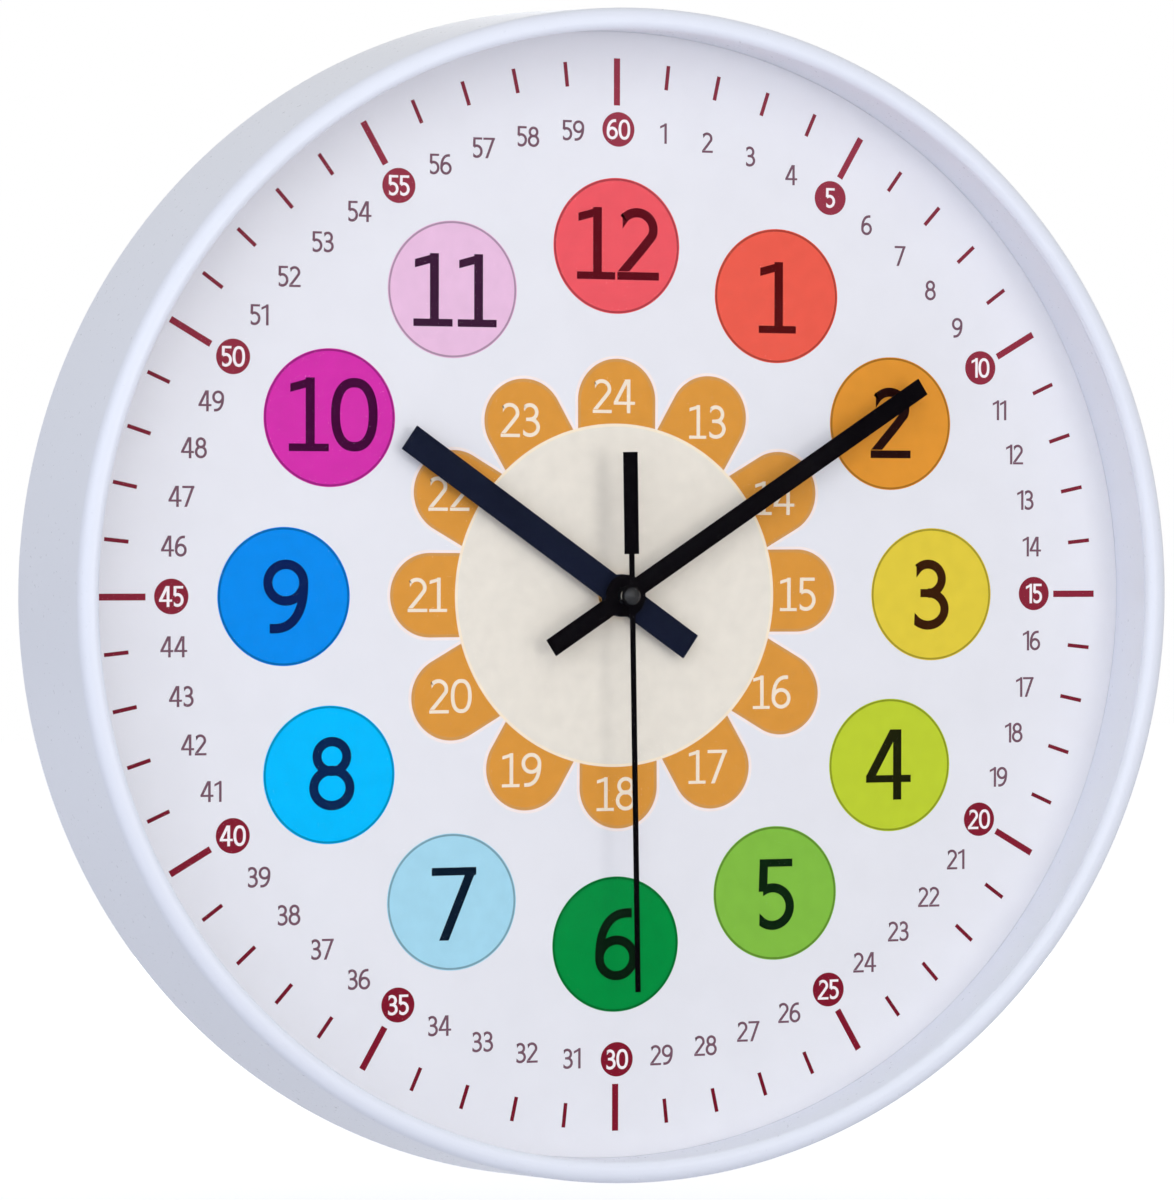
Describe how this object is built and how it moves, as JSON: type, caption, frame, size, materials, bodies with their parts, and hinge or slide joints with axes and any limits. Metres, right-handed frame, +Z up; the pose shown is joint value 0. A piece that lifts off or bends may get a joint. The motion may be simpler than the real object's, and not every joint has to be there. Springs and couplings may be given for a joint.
{
  "type": "teaching wall clock",
  "caption": "Round white wall clock for teaching the time, with coloured hour discs, minute numerals, flat black hands and a quartz movement.",
  "frame": {"origin": "centre of the round part of the hanger's keyhole, on the hanger's rear face", "axes": "+Z up towards 12 o'clock, +Y into the wall (the dial faces -Y), +X to the right seen from the front"},
  "size_m": [0.305, 0.044, 0.305],
  "materials": {
    "case_white": "satin moulded",
    "clear_lens": "clear polished",
    "dial_white": "moulded matt",
    "dial_print": "printed matt",
    "zinc_steel": "zinc plated",
    "movement_black": "moulded matt",
    "gear_ivory": "moulded acetal",
    "brass": "turned",
    "black_rubber": "matt",
    "cell_jacket": "satin wrapped",
    "nickel_steel": "nickel plated",
    "board_green": "solder mask",
    "chip_black": "epoxy",
    "motor_iron": "stamped",
    "copper_wire": "enamelled wire",
    "magnet_grey": "sintered",
    "steel_arbor": "drawn",
    "knob_grey": "moulded",
    "hand_black": "satin lacquer",
    "collet_black": "satin lacquer"
  },
  "bodies": {
    "case": {"case_ring": "case_white", "lens": "clear_lens", "dial_plate": "dial_white", "dial_sheet": "dial_print", "dial_screws": "zinc_steel", "back_housing": "movement_black", "front_housing": "movement_black", "hanger": "movement_black", "middle_plate": "gear_ivory", "threaded_bush": "brass", "rubber_gasket": "black_rubber", "flat_washer": "brass", "hex_nut": "brass", "contact_positive": "nickel_steel", "contact_negative": "nickel_steel", "circuit_board": "board_green", "chip_cap": "chip_black", "quartz_crystal": "nickel_steel", "stator": "motor_iron", "coil_core": "motor_iron", "coil_bobbin": "gear_ivory", "coil_winding": "copper_wire"},
    "second_hand": {"second_hand": "hand_black", "second_hand_bush": "collet_black", "seconds_arbor": "steel_arbor", "seconds_wheel": "gear_ivory"},
    "third_wheel": {"third_wheel": "gear_ivory"},
    "centre_wheel": {"centre_wheel": "gear_ivory"},
    "intermediate_wheel": {"intermediate_wheel": "gear_ivory"},
    "rotor": {"rotor_magnet": "magnet_grey", "rotor_pinion": "gear_ivory"},
    "minute_hand": {"minute_hand": "hand_black", "minute_collet": "collet_black", "minute_tube": "gear_ivory"},
    "minute_wheel": {"minute_wheel": "gear_ivory", "setting_knob": "knob_grey"},
    "hour_hand": {"hour_hand": "hand_black", "hour_collet": "collet_black", "hour_wheel": "gear_ivory"},
    "battery": {"aa_cell": "cell_jacket"}
  },
  "joints": [
    {"name": "second_hand_turn", "type": "hinge", "parent": "case", "child": "second_hand", "pos_m": [0, 0, -0.0345], "axis": [0, 1, 0], "continuous": true},
    {"name": "third_wheel_turn", "type": "hinge", "parent": "case", "child": "third_wheel", "pos_m": [0.01138, 0, -0.03249], "axis": [0, 1, 0], "continuous": true},
    {"name": "centre_wheel_turn", "type": "hinge", "parent": "case", "child": "centre_wheel", "pos_m": [0, 0, -0.0345], "axis": [0, 1, 0], "continuous": true},
    {"name": "intermediate_wheel_turn", "type": "hinge", "parent": "case", "child": "intermediate_wheel", "pos_m": [-0.00528, 0, -0.02535], "axis": [0, 1, 0], "continuous": true},
    {"name": "rotor_turn", "type": "hinge", "parent": "case", "child": "rotor", "pos_m": [-0.01339, 0, -0.02753], "axis": [0, 1, 0], "continuous": true},
    {"name": "minute_hand_turn", "type": "hinge", "parent": "case", "child": "minute_hand", "pos_m": [0, 0, -0.0345], "axis": [0, 1, 0], "continuous": true},
    {"name": "minute_wheel_turn", "type": "hinge", "parent": "case", "child": "minute_wheel", "pos_m": [0.00361, 0, -0.02306], "axis": [0, 1, 0], "continuous": true},
    {"name": "hour_hand_turn", "type": "hinge", "parent": "case", "child": "hour_hand", "pos_m": [0, 0, -0.0345], "axis": [0, 1, 0], "continuous": true},
    {"name": "battery_slide", "type": "slide", "parent": "case", "child": "battery", "axis": [0, 1, 0], "range_m": [0, 0.02]}
  ],
  "couplings": [
    {"joint": "third_wheel_turn", "follows": "second_hand_turn", "ratio": -0.13333},
    {"joint": "centre_wheel_turn", "follows": "second_hand_turn", "ratio": 0.016667},
    {"joint": "intermediate_wheel_turn", "follows": "second_hand_turn", "ratio": -5},
    {"joint": "rotor_turn", "follows": "second_hand_turn", "ratio": 30},
    {"joint": "minute_wheel_turn", "follows": "minute_hand_turn", "ratio": -0.33333},
    {"joint": "hour_hand_turn", "follows": "minute_hand_turn", "ratio": 0.083333}
  ]
}
